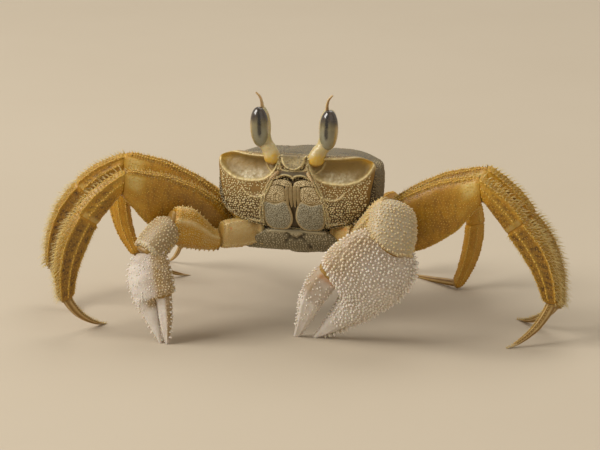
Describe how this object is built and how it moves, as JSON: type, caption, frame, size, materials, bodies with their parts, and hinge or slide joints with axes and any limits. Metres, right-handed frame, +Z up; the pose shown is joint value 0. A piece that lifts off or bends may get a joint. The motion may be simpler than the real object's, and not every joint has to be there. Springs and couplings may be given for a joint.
{
  "type": "ghost crab model",
  "caption": "Still life-size ghost crab standing on its toes with both claws lowered in front and eyestalks raised.",
  "frame": {"origin": "on the floor, under the middle of the crab's bounding box", "axes": "+Z up, the crab faces -Y, +X is the crab's own left side and the longest extent"},
  "size_m": [0.133, 0.0768, 0.0599],
  "materials": {
    "carapace": "matte granular shell, grey-tan",
    "breastplate": "matte granular shell, grey-olive",
    "mouth_plate": "matte granular shell with dark sutures",
    "leg": "satin translucent yellow-orange shell, granular ridges",
    "toe": "satin pale horn with fluted sides",
    "claw": "satin cream-white shell with tubercles",
    "claw_arm": "satin tan-yellow shell with serrated edges",
    "eyestalk": "smooth cream-yellow cuticle",
    "cornea": "glassy dark cornea, polished",
    "style": "smooth tan horn"
  },
  "bodies": {
    "root": {"leg_left_1_merus": "leg", "leg_left_1_carpus": "leg", "leg_left_1_propodus": "leg", "leg_left_1_dactyl": "toe", "leg_left_2_merus": "leg", "leg_left_2_carpus": "leg", "leg_left_2_propodus": "leg", "leg_left_2_dactyl": "toe", "leg_left_3_merus": "leg", "leg_left_3_carpus": "leg", "leg_left_3_propodus": "leg", "leg_left_3_dactyl": "toe", "leg_left_4_merus": "leg", "leg_left_4_carpus": "leg", "leg_left_4_propodus": "leg", "leg_left_4_dactyl": "toe", "leg_right_1_merus": "leg", "leg_right_1_carpus": "leg", "leg_right_1_propodus": "leg", "leg_right_1_dactyl": "toe", "leg_right_2_merus": "leg", "leg_right_2_carpus": "leg", "leg_right_2_propodus": "leg", "leg_right_2_dactyl": "toe", "leg_right_3_merus": "leg", "leg_right_3_carpus": "leg", "leg_right_3_propodus": "leg", "leg_right_3_dactyl": "toe", "leg_right_4_merus": "leg", "leg_right_4_carpus": "leg", "leg_right_4_propodus": "leg", "leg_right_4_dactyl": "toe", "claw_minor_base": "claw_arm", "claw_minor_merus": "claw_arm", "claw_minor_carpus": "claw", "claw_minor_palm": "claw", "claw_minor_finger": "claw", "claw_major_base": "claw_arm", "claw_major_merus": "claw_arm", "claw_major_carpus": "claw", "claw_major_palm": "claw", "claw_major_finger": "claw", "carapace": "carapace", "sternum": "breastplate", "abdomen": "breastplate", "maxilliped_left": "mouth_plate", "eyestalk_left": "eyestalk", "eye_left": "cornea", "style_left": "style", "antenna_left": "eyestalk", "maxilliped_right": "mouth_plate", "eyestalk_right": "eyestalk", "eye_right": "cornea", "style_right": "style", "antenna_right": "eyestalk"}
  },
  "joints": []
}
